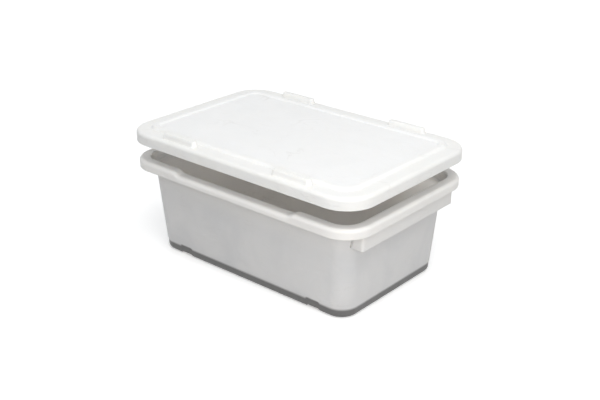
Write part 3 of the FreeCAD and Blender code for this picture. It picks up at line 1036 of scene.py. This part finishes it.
@dataclass(frozen=True)
class Lid:
    """The shallow lid with its bead, its flat panel and four low lugs."""

    rim: Outline
    foot: float
    clearance: float = 0.6 * MM
    wall: float = 2.5 * MM
    depth: float = 27 * MM
    ease: float = 8 * MM
    bead_inset: float = 36 * MM
    bead_width: float = 16 * MM
    bead_rise: float = 6 * MM
    panel_rise: float = 2.5 * MM
    lug_length: float = 100 * MM
    lug_width: float = 19 * MM
    lug_corner: float = 8 * MM
    lug_rise: float = 13 * MM
    lug_slope: float = 4 * MM
    lug_margin: float = 164 * MM
    lug_inset: float = 18.5 * MM

    def outer(self) -> Outline:
        """Gives the outline of the skirt."""
        return self.rim.inset(-self.clearance - self.wall)

    def levels(self) -> list[Level]:
        """Lists the profile from the middle of the panel round to that of its underside.

        Returns:
            The levels, over the bead, down the skirt and back below.
        """
        out = self.outer()
        inner = self.rim.inset(-self.clearance)
        bead_out = out.inset(self.bead_inset)
        bead_in = out.inset(self.bead_inset + self.bead_width)
        groove_out = bead_out.inset(self.wall)
        groove_in = bead_in.inset(-self.wall)
        under_in = bead_in.inset(self.wall)
        top = self.foot + self.depth
        under = top - self.wall
        close, slant, ring = 1.4 * MM, 2.5 * MM, 9 * MM
        return [
            Level(bead_in.inset(ring), top + self.panel_rise),
            Level(bead_in.inset(slant), top + self.panel_rise, ease=3 * MM),
            Level(bead_in.inset(-slant), top + self.bead_rise, ease=4 * MM),
            Level(bead_out.inset(slant), top + self.bead_rise, ease=4 * MM),
            Level(bead_out.inset(-slant), top, ease=3 * MM, spacing=close),
            Level(out, top, ease=self.ease),
            Level(out, self.foot, ease=1 * MM),
            Level(inner, self.foot, ease=1 * MM),
            Level(inner, under, ease=self.ease - self.wall, spacing=close),
            Level(groove_out, under, ease=1 * MM),
            Level(groove_out, under + self.bead_rise, ease=1.5 * MM),
            Level(groove_in, under + self.bead_rise, ease=1.5 * MM),
            Level(groove_in, under, ease=0.8 * MM),
            Level(under_in, under, ease=0.8 * MM),
            Level(under_in, under + self.panel_rise, ease=1 * MM),
            Level(under_in.inset(ring - 3 * MM), under + self.panel_rise),
        ]

    def lug_height(self, x: np.ndarray, y: np.ndarray, inwards: float) -> np.ndarray:
        """Gives how far the lugs stand above the lid.

        A place's depth inside a lug's rounded rectangle is the corner radius less its
        distance from the rectangle of the corners' centres.  The height rises along half
        a cosine wave as that depth goes from 0 to the slope's width.

        Args:
            x: places along the box.
            y: places across it.
            inwards: how much smaller the lug is all round.

        Returns:
            The height at each place.
        """
        out = self.outer()
        off_x = np.abs(np.abs(x) - (self.rim.half_length - self.lug_margin))
        off_y = np.abs(np.abs(y) - (out.half_width - self.lug_inset))
        over_x = off_x - self.lug_length / 2 + self.lug_corner
        over_y = off_y - self.lug_width / 2 + self.lug_corner
        away = np.hypot(np.maximum(over_x, 0.0), np.maximum(over_y, 0.0))
        away += np.minimum(np.maximum(over_x, over_y), 0.0)
        return self.lug_rise * smooth((self.lug_corner - inwards - away) / self.lug_slope)

    def shell(self) -> Piece:
        """Builds the moulding, with the lugs raised on its top and hollow below.

        Returns:
            The piece.
        """
        rows = profile_rows(self.levels())
        middle = self.rim.half_length - self.lug_margin
        reach = self.lug_length / 2
        side, touch, apart = 3 * MM, 0.1 * MM, 1 * MM
        along = clustered([(middle - reach + side, 2 * side), (middle + reach - side, 2 * side)],
                          limit=240 * MM, step=12 * MM)
        across = clustered([], limit=135 * MM, step=15 * MM)
        grid = Stations(mirrored(along), mirrored(across)).grid(rows)
        x, y = grid[..., 0], grid[..., 1]
        out, top = self.outer(), self.foot + self.depth
        inwards, height = out.half_length - rows[:, 0], rows[:, 1]
        order, turn = np.arange(len(rows)), int(np.argmin(height))
        land = (inwards > self.ease - apart) & (inwards < self.bead_inset - apart)
        over = (land & (order < turn) & (height < top + touch))[:, None]
        below = (land & (order > turn) & (height < top - self.wall + touch))[:, None]
        grid[..., 2] += over * self.lug_height(x, y, 0.0)
        grid[..., 2] += below * self.lug_height(x, y, self.wall)
        return closed_grid("lid_shell", grid)

    def build(self, finish: Finish) -> None:
        """Builds and dresses the lid.

        Args:
            finish: its plastic.
        """
        shell = self.shell()
        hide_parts("lid")
        put(shell, "lid", finish)


# ---- studio


@dataclass(frozen=True)
class Lamp:
    """One soft rectangular lamp, aimed at the middle of the box."""

    name: str
    azimuth: float
    elevation: float
    distance: float
    size: float
    power: float
    colour: Colour = (1.0, 1.0, 1.0)


def direction(azimuth: float, elevation: float) -> Vector:
    """Gives the unit way to a viewer, so many degrees round from the front and so many up."""
    a, e = math.radians(azimuth), math.radians(elevation)
    return Vector((math.sin(a) * math.cos(e), -math.cos(a) * math.cos(e), math.sin(e)))


def look(made: Piece, way: Vector, distance: float, aim: Vector) -> None:
    """Puts a lamp or a camera at a distance along a way from its aim, and turns it there."""
    made.location = aim + way * distance
    made.rotation_euler = (-way).to_track_quat("-Z", "Y").to_euler()


@dataclass(frozen=True)
class Studio:
    """A plain pale floor, soft light and the camera.

    ambient is the light from all round, and paper_glow the floor's own light near the box
    and away from it.  The camera's aim is aim_right of the box's middle and aim_height up.
    """

    lamps: tuple[Lamp, ...]
    ambient: float = 0.62
    paper_glow: tuple[float, float] = (0.34, 0.5)
    floor_half: float = 14.0
    azimuth: float = 40.80
    elevation: float = 23.67
    distance: float = 2.2588
    aim_right: float = 0.0099
    aim_height: float = 0.1414
    lens: float = 59.55

    def build_floor(self) -> None:
        """Lays the floor: white paper that keeps the box's shadow.

        A viewer sees it as bright as an evenly lit backdrop, with the shadow on it.
        """
        half = self.floor_half
        mesh = bpy.data.meshes.new("floor")
        mesh.from_pydata([(-half, -half, 0), (half, -half, 0), (half, half, 0),
                          (-half, half, 0)], [], [(0, 1, 2, 3)])
        floor = add_object("floor", mesh)
        paper = bpy.data.materials.new("paper")
        tree = emptied(paper)
        plain = add_node(tree, "BsdfDiffuse", {"Color": (0.32, 0.315, 0.31, 1.0)})
        lit = add_node(tree, "BsdfDiffuse", {"Color": (0.95, 0.95, 0.95, 1.0)})
        away = add_node(tree, "VectorMath", {0: place_in(tree)}, operation="LENGTH")
        even = add_node(tree, "Emission", {
            "Strength": remap(tree, away.outputs["Value"], 0.4, 1.6, *self.paper_glow),
        })
        bright = add_node(tree, "AddShader", {0: lit.outputs[0], 1: even.outputs[0]})
        self.finish_tree(tree, plain, bright, "OutputMaterial")
        mesh.materials.append(paper)

    @staticmethod
    def finish_tree(tree: Tree, lighting: bpy.types.Node, shown: bpy.types.Node,
                    output: str) -> None:
        """Ends a tree with one shader that lights the box and one that the viewer sees.

        Args:
            tree: the tree.
            lighting: the shader that lights.
            shown: the shader that is seen, also in reflections and through plastic.
            output: the kind of the output node.
        """
        rays = add_node(tree, "LightPath").outputs
        seen = rays["Is Camera Ray"]
        for kind in ("Is Glossy Ray", "Is Transmission Ray"):
            seen = calculate(tree, "MAXIMUM", seen, rays[kind])
        mix = add_node(tree, "MixShader", {0: seen, 1: lighting.outputs[0], 2: shown.outputs[0]})
        add_node(tree, output, {"Surface": mix.outputs[0]})

    def build_world(self) -> None:
        """Lights the box evenly from all round, before a white backdrop."""
        world = bpy.data.worlds.new("studio")
        bpy.context.scene.world = world
        tree = emptied(world)
        light = add_node(tree, "Background", {
            "Color": (0.97, 0.985, 1.0, 1.0), "Strength": self.ambient,
        })
        white = add_node(tree, "Background", {
            "Color": (1.0, 1.0, 1.0, 1.0), "Strength": 1.0,
        })
        self.finish_tree(tree, light, white, "OutputWorld")

    def build_lamps(self) -> None:
        """Hangs the lamps and turns them to the box."""
        for lamp in self.lamps:
            data = bpy.data.lights.new(lamp.name, "AREA")
            data.shape = "SQUARE"
            data.size = lamp.size
            data.energy = lamp.power
            data.color = lamp.colour
            look(add_object(lamp.name, data), direction(lamp.azimuth, lamp.elevation),
                 lamp.distance, Vector((0, 0, self.aim_height)))

    def build_camera(self) -> None:
        """Sets up the camera."""
        data = bpy.data.cameras.new("camera")
        data.lens = self.lens
        data.sensor_width = 36.0
        data.clip_end = 100.0
        made = add_object("camera", data)
        turn = math.radians(self.azimuth)
        right = Vector((math.cos(turn), math.sin(turn), 0))
        aim = right * self.aim_right + Vector((0, 0, self.aim_height))
        look(made, direction(self.azimuth, self.elevation), self.distance, aim)
        bpy.context.scene.camera = made

    def build(self) -> None:
        """Builds floor, world, lamps and camera."""
        bpy.context.scene.view_settings.view_transform = "Standard"
        self.build_floor()
        self.build_world()
        self.build_lamps()
        self.build_camera()


def main() -> None:
    """Loads the frame, builds the tub, the lid and the studio."""
    logging.basicConfig(level=logging.INFO, format="%(message)s")
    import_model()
    tub_low, tub_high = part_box("tub")
    lid_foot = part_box("lid")[0][2]
    rim = Outline(tub_high[0], tub_high[1], RIM_CORNER)
    tub = Tub(rim=rim, height=tub_high[2])
    lid = Lid(rim=rim, foot=lid_foot)
    effects = Effects()
    tub_plastic = MouldedPlastic(
        name="tub_plastic", effects=effects, plan=rim,
        # thin is painted shade on the wall, and fade paints light into the shade under the flange.
        thick=(0.885, 0.868, 0.84), thin=(0.68, 0.68, 0.685), inner=(0.95, 0.92, 0.88),
        cloudy=(0.82, 0.81, 0.80), rubbed=(0.56, 0.55, 0.53), foot_painted_shade=(0.15, 0.148, 0.146),
        # inner and glow are painted light on the tub's inside.
        foot=tub_low[2], painted_shade_band=21.5 * MM, fade=75 * MM, painted_light_strength=(0.03, 0.28),
        # grimy, painted_shade_band and the notch set the painted shade on the foot.
        notch=(tub.notch_centre(), tub.notch_edge(), tub.runner / 2),
        wall_top=tub.height - tub.skirt, margin=tub.land + tub.ledge_width,
    ).build()
    lid_plastic = MouldedPlastic(
        name="lid_plastic", effects=effects, plan=lid.outer(),
        thick=(0.90, 0.895, 0.87), thin=(0.94, 0.94, 0.935), inner=(0.94, 0.93, 0.92),
        cloudy=(0.90, 0.90, 0.895), rubbed=(0.72, 0.71, 0.69), foot_painted_shade=(0.72, 0.71, 0.69),
        foot=lid_foot, wall_top=lid_foot - 20 * MM, margin=lid.bead_inset,
    ).build()
    tub.build(tub_plastic)
    lid.build(lid_plastic)
    Studio(lamps=(
        Lamp("key", azimuth=58.0, elevation=62.0, distance=2.6, size=1.8, power=24.0,
             colour=(1.0, 0.985, 0.96)),
        Lamp("fill", azimuth=-35.0, elevation=40.0, distance=3.0, size=2.2, power=3.0,
             colour=(0.96, 0.98, 1.0)),
        Lamp("front", azimuth=48.0, elevation=15.0, distance=1.6, size=0.9, power=7.7,
             colour=(1.0, 0.985, 0.965)),
    )).build()


if __name__ == "__main__":
    main()
